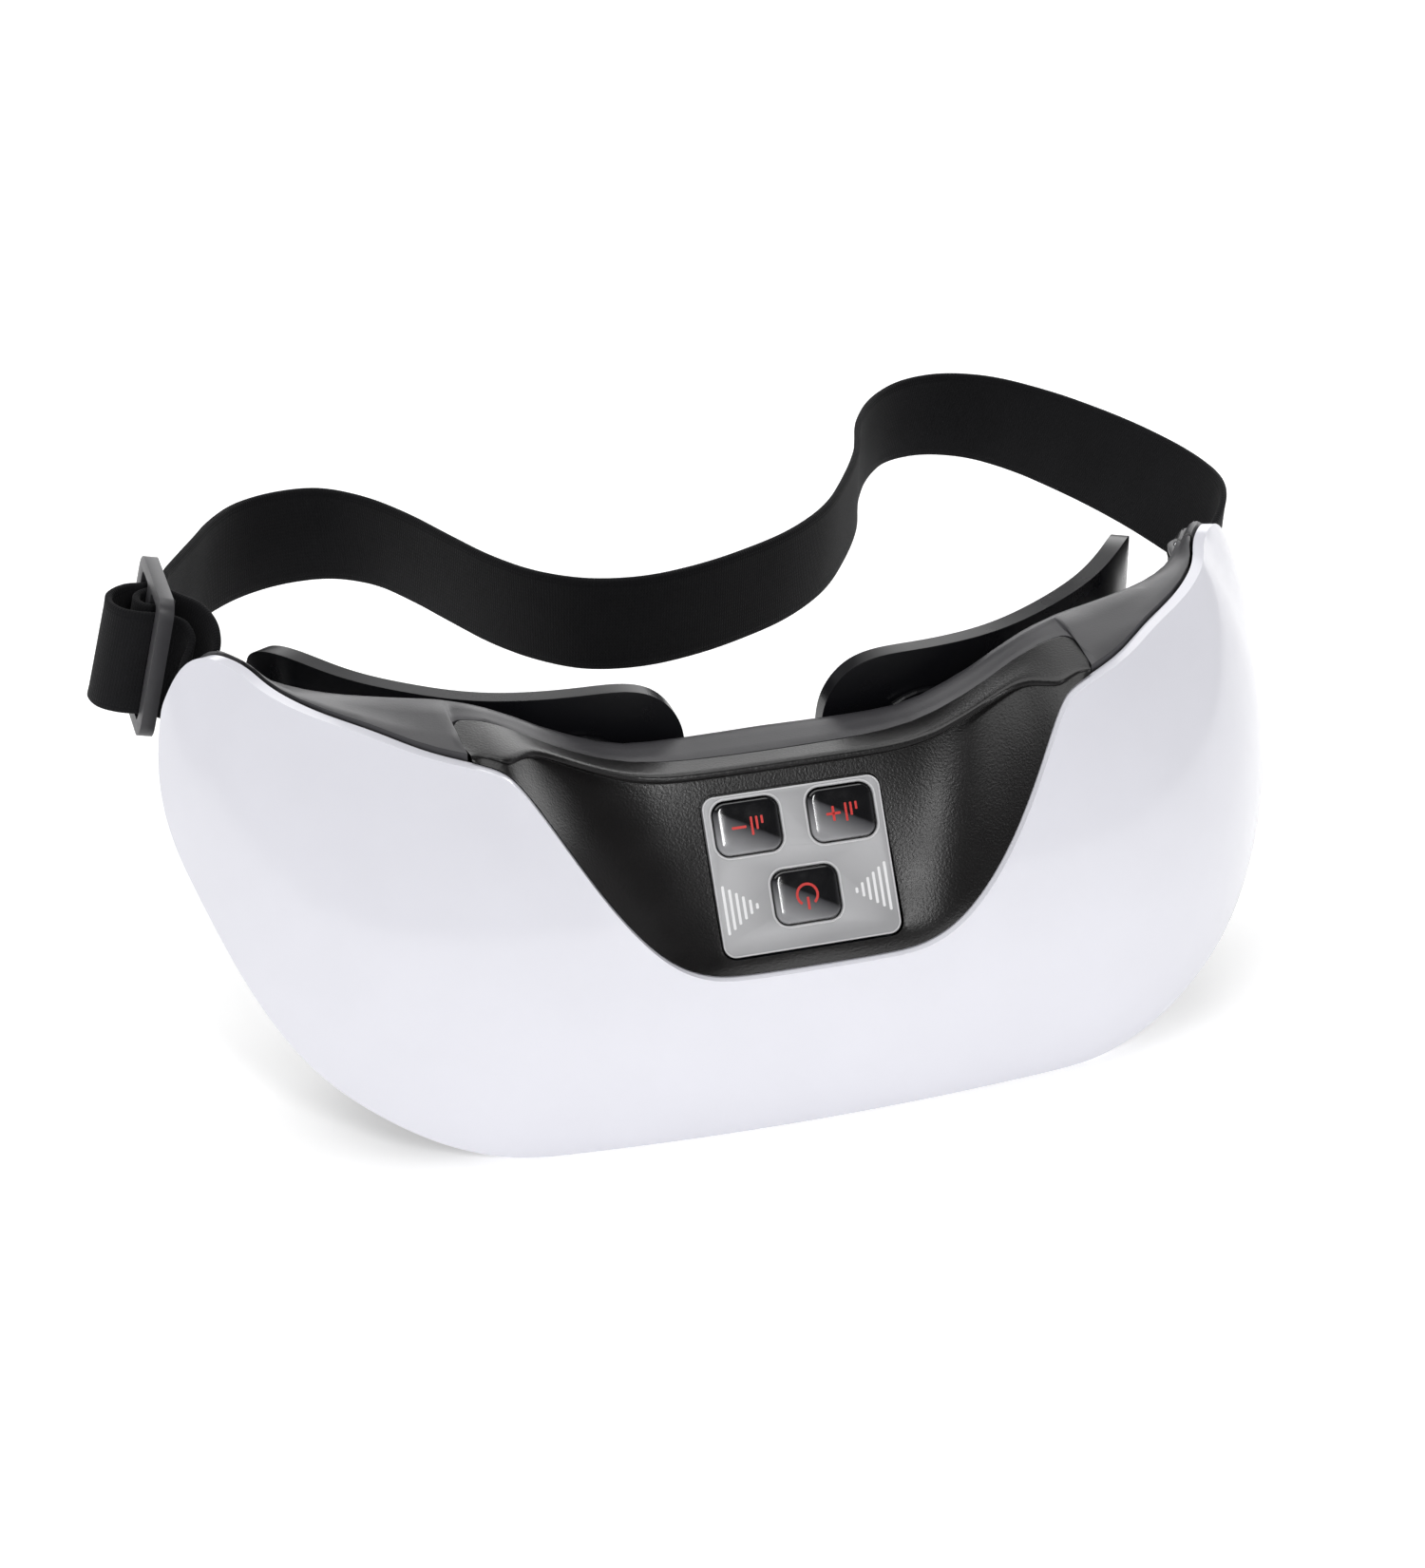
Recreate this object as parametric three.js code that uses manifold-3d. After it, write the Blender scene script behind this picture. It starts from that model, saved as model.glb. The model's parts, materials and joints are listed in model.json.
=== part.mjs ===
// Eye massager mask: a glossy front cover over a dark rear housing, a control panel set in the nose notch,
// two eye pads with magnets, vibration motors inside, and an elastic strap with a tri-glide adjuster.
// Millimetres. The mask stands on its forehead edge: +Z runs to the nose edge, the front faces -Y,
// the strap lies towards +Y, and the left side is -X.

import * as THREE from 'three';
import { mergeVertices } from 'three/addons/utils/BufferGeometryUtils.js';
import Module from 'manifold-3d';

const wasm = await Module();
wasm.setup();

// ---------------------------------------------------------------- driving dimensions

const GAP = 0.3; // between neighbouring pieces
const REST_CENTRE_Y = 20; // the middle of the flat bottom, moved to the origin at the end

const FRONT_ARCS = [ // plan curve of the front: radius and where it ends, measured along the curve
  { radius: 450, until: 50 },
  { radius: 62, until: 98 },
  { radius: 85, until: 145 },
];
const COVER_THICKNESS = 2;
const BELLY_HEIGHT = 26; // height where the front bulges most
const LEAN_RADIUS_ABOVE = 72;
const LEAN_RADIUS_BELOW = 170;

const WALL = 2;
const WALL_CORNER = 3.2;
const SEAM_TURN = { from: 56, to: 61.2, later: 1.5 }; // where the seam turns forward to the cover
const BROW_FLARE = 8; // how far the bottom edge spreads back

const PLATE = { width: 32, height: 27.8, thickness: 1.2, corner: 2.2 };
const PLATE_CENTRE = [0, 12.5, 45.7];
const PLATE_TILT = THREE.MathUtils.degToRad(57.3);
const KEY = { width: 11.6, height: 9.2, corner: 2.2, bottom: -1.4, top: 0.35, stem: 3.5 };
const KEY_PLACES = { button_minus: [-8.5, 8.1], button_plus: [8.5, 8.1], button_power: [0, -5.0] };
const BOARD_FRONT = -10.6;

const PAD_THICKNESS = 3.3;
const MAGNET = { radius: 3, thickness: 1.8 };

const STRAP_WIDTH = 20;
const STRAP_THICKNESS = 1.2;
const PIN_RADIUS = 1.2;
const LUG_CENTRE = [95.8, 67.8, 57.2];
const LUG_AXIS = [-0.22, 0.09, 1];
const EAR = { height: 10.7, radius: 2.6, reach: 7, thickness: 1.3 }; // height: lug centre to inner face

const MOTOR = { x: 55, y: 21, z: 14, radius: 6, length: 20 };

// ---------------------------------------------------------------- helpers

const smooth = (low, high, x) => THREE.MathUtils.smoothstep(x, low, high);
const lerp = THREE.MathUtils.lerp;

// A smooth line through a few points, read as height over distance and mirrored about zero.
function profile(points) {
  const spline = new THREE.SplineCurve(points.map(([x, y]) => new THREE.Vector2(x, y)));
  const samples = spline.getPoints(400);
  return (x) => {
    const distance = Math.abs(x);
    const next = samples.findIndex((sample) => sample.x >= distance);
    if (next < 0) return samples[samples.length - 1].y;
    if (next === 0) return samples[0].y;
    const before = samples[next - 1];
    const after = samples[next];
    return lerp(before.y, after.y, (distance - before.x) / (after.x - before.x || 1));
  };
}

function tidy(geometry) {
  const bare = geometry.index ? geometry.toNonIndexed() : geometry.clone();
  bare.deleteAttribute('normal');
  bare.deleteAttribute('uv');
  return mergeVertices(bare, 1e-4);
}

function volume(geometry) {
  const position = geometry.attributes.position;
  const index = geometry.index.array;
  const [a, b, c] = [new THREE.Vector3(), new THREE.Vector3(), new THREE.Vector3()];
  let total = 0;
  for (let i = 0; i < index.length; i += 3) {
    a.fromBufferAttribute(position, index[i]);
    b.fromBufferAttribute(position, index[i + 1]);
    c.fromBufferAttribute(position, index[i + 2]);
    total += a.dot(b.cross(c)) / 6;
  }
  return total;
}

// A block of columns, rows and layers whose every corner is placed by a function of (u, v, w) in 0..1.
function bent(columns, rows, layers, place) {
  const geometry = tidy(new THREE.BoxGeometry(1, 1, 1, columns, rows, layers));
  const position = geometry.attributes.position;
  for (let i = 0; i < position.count; i += 1) {
    const point = place(position.getX(i) + 0.5, position.getY(i) + 0.5, position.getZ(i) + 0.5);
    position.setXYZ(i, ...point);
  }
  const merged = mergeVertices(geometry, 1e-4);
  const turned = volume(merged) < 0;
  const index = [];
  for (let i = 0; i < merged.index.count; i += 3) {
    const [a, b, c] = merged.index.array.slice(i, i + 3);
    if (a !== b && b !== c && c !== a) index.push(...(turned ? [a, c, b] : [a, b, c]));
  }
  merged.setIndex(index);
  return merged;
}

function solid(geometry) {
  const clean = tidy(geometry);
  const mesh = new wasm.Mesh({
    numProp: 3,
    vertProperties: new Float32Array(clean.attributes.position.array),
    triVerts: new Uint32Array(clean.index.array),
  });
  return new wasm.Manifold(mesh);
}

function fromSolid(body) {
  const mesh = body.getMesh();
  const geometry = new THREE.BufferGeometry();
  geometry.setAttribute('position', new THREE.BufferAttribute(new Float32Array(mesh.vertProperties), 3));
  geometry.setIndex(new THREE.BufferAttribute(new Uint32Array(mesh.triVerts), 1));
  return geometry;
}

function cut(geometry, ...tools) {
  return fromSolid(tools.reduce((body, tool) => body.subtract(solid(tool)), solid(geometry)));
}

function join(geometry, ...others) {
  return fromSolid(others.reduce((body, other) => body.add(solid(other)), solid(geometry)));
}

function box(width, depth, height, x = 0, y = 0, z = 0) {
  return new THREE.BoxGeometry(width, depth, height).translate(x, y, z);
}

function roundedShape(width, height, corner, x = 0, y = 0) {
  const shape = new THREE.Shape();
  const [right, top] = [x + width / 2, y + height / 2];
  const [left, bottom] = [x - width / 2, y - height / 2];
  shape.moveTo(right, bottom + corner);
  shape.absarc(right - corner, top - corner, corner, 0, Math.PI / 2);
  shape.absarc(left + corner, top - corner, corner, Math.PI / 2, Math.PI);
  shape.absarc(left + corner, bottom + corner, corner, Math.PI, 1.5 * Math.PI);
  shape.absarc(right - corner, bottom + corner, corner, 1.5 * Math.PI, 2 * Math.PI);
  return shape;
}

// A flat shape made solid between two heights.
function slab(shape, from, to, curveSegments = 5) {
  const options = { depth: to - from, bevelEnabled: false, curveSegments };
  return new THREE.ExtrudeGeometry(shape, options).translate(0, 0, from);
}

// A solid of revolution about Z from a closed half profile.
function turned(points, sides = 20) {
  const outline = points.map(([radius, height]) => new THREE.Vector2(radius, height));
  return new THREE.LatheGeometry(outline, sides).rotateX(Math.PI / 2);
}

function rod(radius, from, to, sides = 16) {
  return turned([[0, from], [radius, from], [radius, to], [0, to]], sides);
}

// Carries a shape made about Z to a centre and an axis.
function aim(geometry, centre, axis) {
  const turn = new THREE.Quaternion().setFromUnitVectors(
    new THREE.Vector3(0, 0, 1),
    new THREE.Vector3(...axis).normalize(),
  );
  return geometry.applyQuaternion(turn).translate(...centre);
}

const group = new THREE.Group();

function add(name, geometry, look, parent = group) {
  const mesh = new THREE.Mesh(geometry, new THREE.MeshStandardMaterial(look));
  mesh.name = name;
  parent.add(mesh);
  return mesh;
}

const LOOKS = {
  gloss: { color: 0xe9e9f0, roughness: 0.15, metalness: 0 },
  frame: { color: 0x55555a, roughness: 0.5, metalness: 0.1 },
  panel: { color: 0x1b1a1b, roughness: 0.45, metalness: 0.1 },
  silver: { color: 0xb9babc, roughness: 0.3, metalness: 0.6 },
  key: { color: 0x151515, roughness: 0.1, metalness: 0 },
  pad: { color: 0x0d0d10, roughness: 0.25, metalness: 0 },
  strap: { color: 0x1a1a1d, roughness: 0.95, metalness: 0 },
  slider: { color: 0x4d4d52, roughness: 0.5, metalness: 0 },
  steel: { color: 0xb5b8bb, roughness: 0.3, metalness: 1 },
  board: { color: 0x1d5a34, roughness: 0.6, metalness: 0 },
  battery: { color: 0x8f959c, roughness: 0.4, metalness: 0.3 },
  silicone: { color: 0xbdbdbd, roughness: 0.8, metalness: 0 },
};

// ---------------------------------------------------------------- the mask's surfaces

// Plan curve of the front: point and inward normal at a distance along it from the middle.
function frontCurve(distance) {
  const side = Math.sign(distance) || 1;
  let [x, y, heading, done] = [0, 0, 0, 0];
  for (const arc of FRONT_ARCS) {
    const length = Math.min(Math.abs(distance), arc.until) - done;
    if (length <= 0) break;
    const turn = length / arc.radius;
    x += arc.radius * (Math.sin(heading + turn) - Math.sin(heading));
    y += arc.radius * (Math.cos(heading) - Math.cos(heading + turn));
    heading += turn;
    done += length;
  }
  return { x: side * x, y, nx: -side * Math.sin(heading), ny: Math.cos(heading), heading };
}

// How far the front leans back at a height; the lean fades towards the ends.
function lean(distance, height) {
  const rise = height - BELLY_HEIGHT;
  const radius = rise > 0 ? LEAN_RADIUS_ABOVE : LEAN_RADIUS_BELOW;
  const back = radius - Math.sqrt(radius * radius - rise * rise);
  const past = Math.abs(distance);
  return back * (1 - 0.32 * smooth(80, 115, past) - 0.16 * smooth(118, 138, past));
}

// The front surface, pushed inwards by depth.
function onFront(distance, height, depth) {
  const at = frontCurve(distance);
  const inward = lean(distance, height) + depth;
  return [at.x + at.nx * inward, at.y + at.ny * inward, height];
}

const coverTop = profile([
  [0, 32.2], [14, 32.2], [20, 33.0], [26, 36.0], [32, 42], [38, 50], [44, 59], [48.5, 65.2], [52, 68.2],
  [58, 69.8], [70, 71.3], [83, 73], [97, 74.8], [109, 76.6], [119, 77.9], [124, 78.3], [128.3, 78.4],
  [131, 77.8], [132.7, 76.9], [134.3, 75.3], [135.4, 73.3], [136.1, 70.6], [136.4, 68.5],
]);
const coverFoot = profile([
  [0, 0], [40, 0], [48, 0], [55, 0.6], [61, 1.8], [67, 3.6], [73, 6.1], [80, 9.5], [86, 12.7], [93, 17.6],
  [100, 24.2], [107, 31.8], [113, 37.9], [118, 42], [124, 46.5], [128, 50.3], [131, 54.2], [133.2, 58],
  [134.8, 61.9], [135.9, 65.2], [136.4, 67.3],
]);
const footHeight = (distance) => (Math.abs(distance) < 48 ? 0 : Math.max(0, coverFoot(distance)));

// The dark band behind the cover: its height at the seam and at its back edge, over x.
const bandFrontHeight = profile([
  [0, 60.9], [22, 61.0], [30, 61.9], [38, 64.6], [45, 68], [51, 70.2], [58, 71.2], [70, 72.3], [83, 74],
  [97, 75.6], [109, 77.0], [119, 78.2], [124, 78.5], [128.3, 78.6], [131, 78.0], [132.7, 77.1], [134.3, 75.5],
  [135.4, 73.5],
]);
const bandBackHeight = profile([
  [0, 60.9], [18, 60.9], [27, 61.7], [36, 65.1], [45, 69.2], [54, 71.9], [65, 73.7], [75, 74.6], [85, 75],
  [92, 74.2],
]);
const backX = profile([[0, 0], [55, 52], [75, 66], [95, 77], [110, 84], [133, 92.6]]);
const backY = profile([
  [0, 38.8], [20, 38.6], [38, 39.2], [52, 41.5], [65, 44], [74, 46.5], [81, 51], [86.5, 58], [92, 67.5],
]);

// The seam between the panel's ledge and the band, in plan.
const seamY = profile([[0, 27.6], [12, 27.8], [20, 28.5], [30, 30.5], [38, 31.8], [44, 32.5], [50, 33.0], [60, 33.8]]);

// Depth below the front surface of what lies close behind the cover.
const behindCover = (distance) => COVER_THICKNESS + GAP * (1 + smooth(85, 110, Math.abs(distance)));

// Front edge of the band's top face, in plan: along the seam, round its corner, then close behind the cover.
function bandFront(distance) {
  const height = bandFrontHeight(distance);
  const [coverX, coverY] = onFront(distance, coverTop(distance), behindCover(distance));
  const { from, to, later } = SEAM_TURN;
  const past = Math.abs(distance);
  return [
    lerp(0.985 * distance, coverX, smooth(from + later, to, past)),
    lerp(seamY(distance), coverY, smooth(from, to, past)),
    height,
  ];
}

// Back surface of the housing, at a height; towards the ends it leans as the front does.
function onBack(distance, height) {
  const side = Math.sign(distance) || 1;
  const x = backX(distance);
  const top = bandBackHeight(x);
  const follow = smooth(60, 118, Math.abs(distance));
  const shift = follow * (lean(distance, top) - lean(distance, Math.min(height, top)));
  const at = frontCurve(distance);
  return [side * x - at.nx * shift, backY(x) - at.ny * shift, height];
}

// ---------------------------------------------------------------- front cover

const HALF_COLUMNS = [
  0, 7, 14, 18, 22, 26, 30, 34, 38, 42, 45.5, 48.5, 51, 53.5, 57, 62, 68, 74, 80, 86, 92, 98, 103.5, 109, 114,
  118.5, 122.5, 126, 129, 131.3, 133.2, 134.7, 135.8, 136.4,
];
const mirrored = (half) => [...half.slice(1).map((value) => -value).reverse(), ...half];

function frontCover() {
  const columns = mirrored(HALF_COLUMNS);
  const rows = 10;
  return bent(columns.length - 1, rows, 1, (u, v, w) => {
    const distance = columns[Math.round(u * (columns.length - 1))];
    const height = lerp(footHeight(distance), coverTop(distance), v);
    return onFront(distance, height, w * COVER_THICKNESS);
  });
}

// ---------------------------------------------------------------- rear housing

// The housing's section at one distance along the mask: outer and inner line from the top front edge, round
// the back, to the bottom front edge.
function housingSection(distance) {
  const front = bandFront(distance);
  const foot = footHeight(distance);
  const top = bandBackHeight(backX(distance));
  const backTop = onBack(distance, top);
  const toFront = new THREE.Vector2(front[0] - backTop[0], front[1] - backTop[1]).normalize();
  const flare = BROW_FLARE * (1 - smooth(45, 95, Math.abs(distance)));
  const line = [];
  const spot = (height, inset, rise, thickness) => {
    const [x, y] = onBack(distance, height);
    const reach = inset + thickness;
    line.push([x + toFront.x * reach, y + toFront.y * reach, height + rise]);
  };
  const sections = [0, WALL].map((thickness) => {
    line.length = 0;
    line.push([front[0], front[1], front[2] - thickness]);
    const corner = WALL_CORNER - thickness;
    const middle = [0.35, 0.7];
    for (const share of middle) {
      const [x, y] = onBack(distance, top);
      line.push([
        lerp(front[0], x + toFront.x * WALL_CORNER, share),
        lerp(front[1], y + toFront.y * WALL_CORNER, share),
        lerp(front[2], top, share * share) - thickness,
      ]);
    }
    for (const angle of [0, 30, 60, 90]) {
      const turn = THREE.MathUtils.degToRad(angle);
      const drop = WALL_CORNER - corner * Math.cos(turn);
      const [x, y] = onBack(distance, top);
      const inset = WALL_CORNER - corner * Math.sin(turn);
      line.push([x + toFront.x * inset, y + toFront.y * inset, top - drop]);
    }
    const low = foot + WALL_CORNER + 12 * (1 - smooth(60, 110, Math.abs(distance)));
    spot(lerp(top - WALL_CORNER, low, 0.35), 0, 0, thickness);
    spot(lerp(top - WALL_CORNER, low, 0.7), 0, 0, thickness);
    spot(low, 0, 0, thickness);
    spot(lerp(low, foot + WALL_CORNER, 0.55), -flare * 0.35, 0, thickness);
    spot(foot + WALL_CORNER, -flare * 0.9, 0, thickness);
    spot(foot, -flare + WALL_CORNER * 0.3 - thickness * 0.3, WALL_CORNER * 0.3 + thickness * 0.5, thickness);
    spot(foot, -flare + WALL_CORNER, thickness, 0);
    const [footX, footY] = onFront(distance, foot, behindCover(distance));
    line.push([footX, footY, foot + thickness]);
    return line.map((point) => [...point]);
  });
  return { outer: sections[0], inner: sections[1] };
}

const HOUSING_COLUMNS = [
  0, 8, 16, 21, 26, 31, 36, 41, 46, 51, 54, 55.7, 56.7, 57.6, 58.4, 59.2, 60.1, 61.2, 64, 68.5, 74, 80, 86, 92, 98,
  104, 109.5, 114, 118.5, 122,
];

function rearHousing() {
  const columns = mirrored(HOUSING_COLUMNS);
  const sections = columns.map(housingSection);
  const rows = sections[0].outer.length - 1;
  const shell = bent(columns.length - 1, rows, 1, (u, v, w) => {
    const section = sections[Math.round(u * (columns.length - 1))];
    return (w < 0.5 ? section.outer : section.inner)[Math.round(v * rows)];
  });
  const bosses = [];
  const holes = [socketBlock(GAP)];
  for (const side of [-1, 1]) {
    const clampScrew = [side * CLAMP_SCREW.x, CLAMP_SCREW.y + GAP, CLAMP_SCREW.z];
    bosses.push(aim(rod(2.6, 0, 8.6), clampScrew, [0, 1, 0]));
    holes.push(aim(rod(1.1, -1, 6), clampScrew, [0, 1, 0]));
    holes.push(onStem(rod(4.3, -12, 3, 20), side));
  }
  return cut(join(shell, ...bosses), ...holes);
}

// ---------------------------------------------------------------- control panel in the nose notch

const ledgeY = profile([
  [0, 21.4], [18, 21.5], [26, 22.3], [33, 23.6], [40, 24.6], [46, 24.6], [51, 23.8], [60, 23.8],
]);
const ledgeZ = profile([[0, 61.5], [20, 61.6], [28, 62.4], [36, 65.0], [43, 68.1], [49, 69.9], [60, 71.4]]);

// The panel's section at one distance: from the seam over the ledge, under it, down the scooped face to the
// rim of the cover's notch.
function panelSection(distance) {
  const seam = bandFront(distance);
  const nearSeam = seam[1] - GAP;
  const rim = coverTop(distance) + GAP;
  const [edgeX, edgeY] = onFront(distance, rim, 1.3);
  const crease = 1 - smooth(34, 48, Math.abs(distance));
  const seamX = seam[0] * (1 - (1.3 * GAP) / SEAM_TURN.from);
  const atRim = smooth(45, 53, Math.abs(distance));
  const lipX = lerp(seamX, lerp(edgeX, seamX, 0.12), atRim);
  const lipY = lerp(ledgeY(distance), lerp(edgeY, nearSeam, 0.12), atRim);
  const lipZ = ledgeZ(distance);
  const depth = Math.min(1.55, 0.4 * (nearSeam - lipY));
  const drop = Math.min(1, (lipZ - rim) / 3);
  const faceTop = [lipX, lipY + lerp(0.2, 1.2, crease) * drop, lipZ - lerp(1.1, 2.0, crease) * drop];
  const outer = [
    [seamX, nearSeam, seam[2]],
    [lerp(seamX, lipX, 0.5), lerp(nearSeam, lipY, 0.5), lerp(seam[2], lipZ, 0.5)],
    [lipX, lipY + 0.9 * drop, lipZ],
    [lipX, lipY + 0.25 * drop, lipZ - 0.25 * drop],
    [lipX, lipY, lipZ - 0.9 * drop],
    faceTop,
  ];
  const edge = [edgeX, edgeY, rim];
  const foot = Math.max(0, 1 - Math.abs(distance) / 34);
  const nearEdge = (share, back, up) => {
    const [x, y, z] = edge.map((value, axis) => lerp(value, faceTop[axis], share));
    return [x, y + back * foot, z + up * foot];
  };
  const shelf = nearEdge(0.05, 4.0, 1.6);
  for (const share of [0.17, 0.34, 0.51, 0.68, 0.85, 1]) {
    outer.push(faceTop.map((value, axis) => lerp(value, shelf[axis], share)));
  }
  outer.push(nearEdge(0.02, 1.6, 0.3), edge);
  const last = outer.length - 1;
  const inner = outer.map(([x, y, z], step) => {
    if (step < 2) return [x, y, z - 1.8 * drop];
    const along = (step - 2) * 0.12 * drop;
    if (step < 6) return [x, lipY + depth * 1.4 + along * crease, lipZ - lerp(2.2, 3.2, crease) * drop - along];
    const inward = smooth(last - 6, last - 2, step);
    return [x, y + depth, z - lerp(0.95, 0.1, inward) * drop];
  });
  return { outer, inner };
}

const PANEL_COLUMNS = [
  0, 7, 13, 17.5, 21, 24.5, 28, 31.5, 35, 38.5, 42, 45, 47.5, 50, 52, 54, 55.7, 56.7, 57.6, 58.4, 59.2, 60.1,
];

function controlPanel(control) {
  const columns = mirrored(PANEL_COLUMNS);
  const sections = columns.map(panelSection);
  const rows = sections[0].outer.length - 1;
  const skin = bent(columns.length - 1, rows, 1, (u, v, w) => {
    const section = sections[Math.round(u * (columns.length - 1))];
    return (w < 0.5 ? section.outer : section.inner)[Math.round(v * rows)];
  });
  const recess = slab(
    roundedShape(PLATE.width + 0.9, PLATE.height + 0.9, PLATE.corner + 0.4), -PLATE.thickness - GAP, 3, 3,
  );
  const windows = Object.values(KEY_PLACES).map(([x, y]) => slab(
    roundedShape(KEY.width + 0.6, KEY.height + 0.6, KEY.corner), -5, 3, 2,
  ).translate(x, y, 0));
  const posts = [-1, 1].map((side) => rod(2.2, BOARD_FRONT + GAP, -2.0).translate(side * 17.6, 0, 0));
  const bores = [-1, 1].map((side) => rod(0.95, BOARD_FRONT - 1, -5.5).translate(side * 17.6, 0, 0));
  const place = (geometry) => geometry.applyMatrix4(control.matrix);
  const cutOut = cut(skin, ...[recess, ...windows].map(place));
  return cut(join(cutOut, ...posts.map(place)), ...bores.map(place));
}

function buttonPlate() {
  const shape = roundedShape(PLATE.width, PLATE.height, PLATE.corner);
  for (const [x, y] of Object.values(KEY_PLACES)) {
    shape.holes.push(roundedShape(KEY.width + 0.6, KEY.height + 0.6, KEY.corner + 0.3, x, y));
  }
  return slab(shape, -PLATE.thickness, 0, 4);
}

function keyCap() {
  const cap = slab(roundedShape(KEY.width, KEY.height, KEY.corner), KEY.bottom, KEY.top - 0.3, 3);
  const crown = slab(roundedShape(KEY.width - 0.7, KEY.height - 0.7, KEY.corner - 0.35), KEY.bottom, KEY.top, 3);
  return join(cap, crown, rod(KEY.stem / 2, -6.2, KEY.bottom + 0.4, 12));
}

function keypadGasket() {
  const shape = roundedShape(29, 24, 2);
  for (const [x, y] of Object.values(KEY_PLACES)) {
    const hole = new THREE.Path();
    hole.absarc(x, y, KEY.stem / 2 + 0.6, 0, 2 * Math.PI);
    shape.holes.push(hole);
  }
  return slab(shape, -3.9, -3.3, 3);
}

function tactSwitch() {
  return join(box(6, 6, 3.1, 0, 0, BOARD_FRONT + GAP + 1.55), rod(1.7, BOARD_FRONT + 2, -7.0, 12));
}

function circuitBoard() {
  const holes = [-1, 1].map((side) => rod(1.3, -20, 0).translate(side * 17.6, 0, 0));
  return cut(slab(roundedShape(42, 25, 1.5), BOARD_FRONT - 1.2, BOARD_FRONT), ...holes);
}

// ---------------------------------------------------------------- inside the housing

const motorPlace = (side) => [side * MOTOR.x, MOTOR.y, MOTOR.z];
const CLAMP_SCREW = { x: MOTOR.x - 11.5, y: MOTOR.y + MOTOR.radius + 3.2, z: MOTOR.z + 10 };

function vibrationMotor(side) {
  const can = MOTOR.radius;
  const shaft = MOTOR.length + 7;
  return turned([
    [0, 0], [can - 0.6, 0], [can, 0.6], [can, MOTOR.length - 0.6], [can - 0.6, MOTOR.length],
    [2, MOTOR.length], [2, MOTOR.length + 1], [0.8, MOTOR.length + 1], [0.8, shaft], [0, shaft],
  ]).translate(...motorPlace(side));
}

function eccentricWeight(side) {
  const half = new THREE.Shape();
  half.absarc(0, 0, 5, 0, Math.PI);
  half.absarc(0, 0, 2.2, Math.PI, 2 * Math.PI);
  const bore = new THREE.Path();
  bore.absarc(0, 0, 0.8 + GAP, 0, 2 * Math.PI);
  half.holes.push(bore);
  return slab(half, MOTOR.length + 2, MOTOR.length + 6.4, 10).translate(...motorPlace(side));
}

const CLAMP = { wall: 1.5, reach: 15, thickness: 2.2, bottom: 6, height: 8 };

// A ring round the motor, with a strip behind it that is screwed to the housing's boss.
function motorClamp(side) {
  const { wall, reach, thickness, bottom, height } = CLAMP;
  const middle = bottom + height / 2;
  const [screwX, screwY] = [side * (CLAMP_SCREW.x - MOTOR.x), CLAMP_SCREW.y - MOTOR.y];
  const bore = MOTOR.radius + GAP;
  const strip = box(reach, thickness, height, -side * reach / 2, screwY - thickness / 2, middle);
  const screwHole = aim(rod(1.1, -4, 4), [screwX, screwY, middle], [0, 1, 0]);
  const body = join(rod(bore + wall, bottom, bottom + height, 24), strip);
  return cut(body, rod(bore, 0, MOTOR.length, 24), screwHole).translate(...motorPlace(side));
}

// A small screw: its head's underside at the centre, its shank along the axis.
function screw(length, centre, axis) {
  const head = [[0, -1.3], [1.4, -1.3], [1.9, -0.8], [1.9, 0]];
  const shank = [[0.8, 0], [0.8, length - 0.6], [0, length]];
  return aim(turned([...head, ...shank], 14), centre, axis);
}

const BATTERY = { width: 52, depth: 7.6, height: 26, x: 0, y: 9.0, z: 16.4 };

function batteryCell() {
  const shape = roundedShape(BATTERY.width, BATTERY.depth, 2.4);
  return slab(shape, -BATTERY.height / 2, BATTERY.height / 2).translate(BATTERY.x, BATTERY.y, BATTERY.z);
}

const SOCKET = { x: 30, y: 22, width: 9.6, depth: 4.2, bottom: 0.4, height: 7 };

function socketBlock(margin) {
  const { width, depth, bottom, height, x, y } = SOCKET;
  return box(width + 2 * margin, depth + 2 * margin, height + 4, x, y, bottom + height / 2 - 2);
}

function chargeSocket() {
  const { width, depth, bottom, height, x, y } = SOCKET;
  const body = box(width, depth, height, x, y, bottom + height / 2);
  const mouth = box(width - 1.2, depth - 1.2, height - 1, x, y, bottom + (height - 1) / 2 - 0.5);
  const tongue = box(width - 3.4, 0.8, height - 1.6, x, y, bottom + height / 2 + 0.5);
  return join(cut(body, mouth), tongue);
}

// ---------------------------------------------------------------- eye pads

const PAD_COLUMNS = [
  12.5, 13.1, 14.4, 16.4, 19.5, 24, 29, 34, 40, 46, 52, 57, 62, 66.5, 70.5, 74, 77, 79.3, 81, 82,
];
const padY = profile([
  [12.5, 44.2], [20, 44.4], [30, 45.2], [42, 47.2], [52, 50.3], [61, 54], [68, 58], [74, 63], [79, 69.5],
  [82, 75.5],
]);
const padTop = profile([
  [12.5, 57], [13.2, 61], [15.5, 65], [19, 67.8], [24, 68.8], [35, 68.4], [48, 68.4], [58, 69.6], [68, 71.2],
  [75, 72.8], [79, 72.4], [81, 70.4], [82, 67.5],
]);
const padFoot = profile([
  [12.5, 30], [13.5, 25], [17, 20.5], [24, 17.5], [36, 16.5], [50, 18], [60, 21], [68, 26], [74, 31],
  [78.5, 36], [81, 40], [82, 44],
]);
const MAGNET_PLACES = [[22.5, 43], [36, 59.5], [37, 26], [57, 61], [60, 31]];

// A point of the pad's face, with the normal that points to the wearer.
function onPad(side, x, z) {
  const slope = (padY(x + 0.5) - padY(x - 0.5));
  const length = Math.hypot(slope, 1);
  return { point: [side * x, padY(x), z], normal: [(-side * slope) / length, 1 / length, 0] };
}

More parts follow.
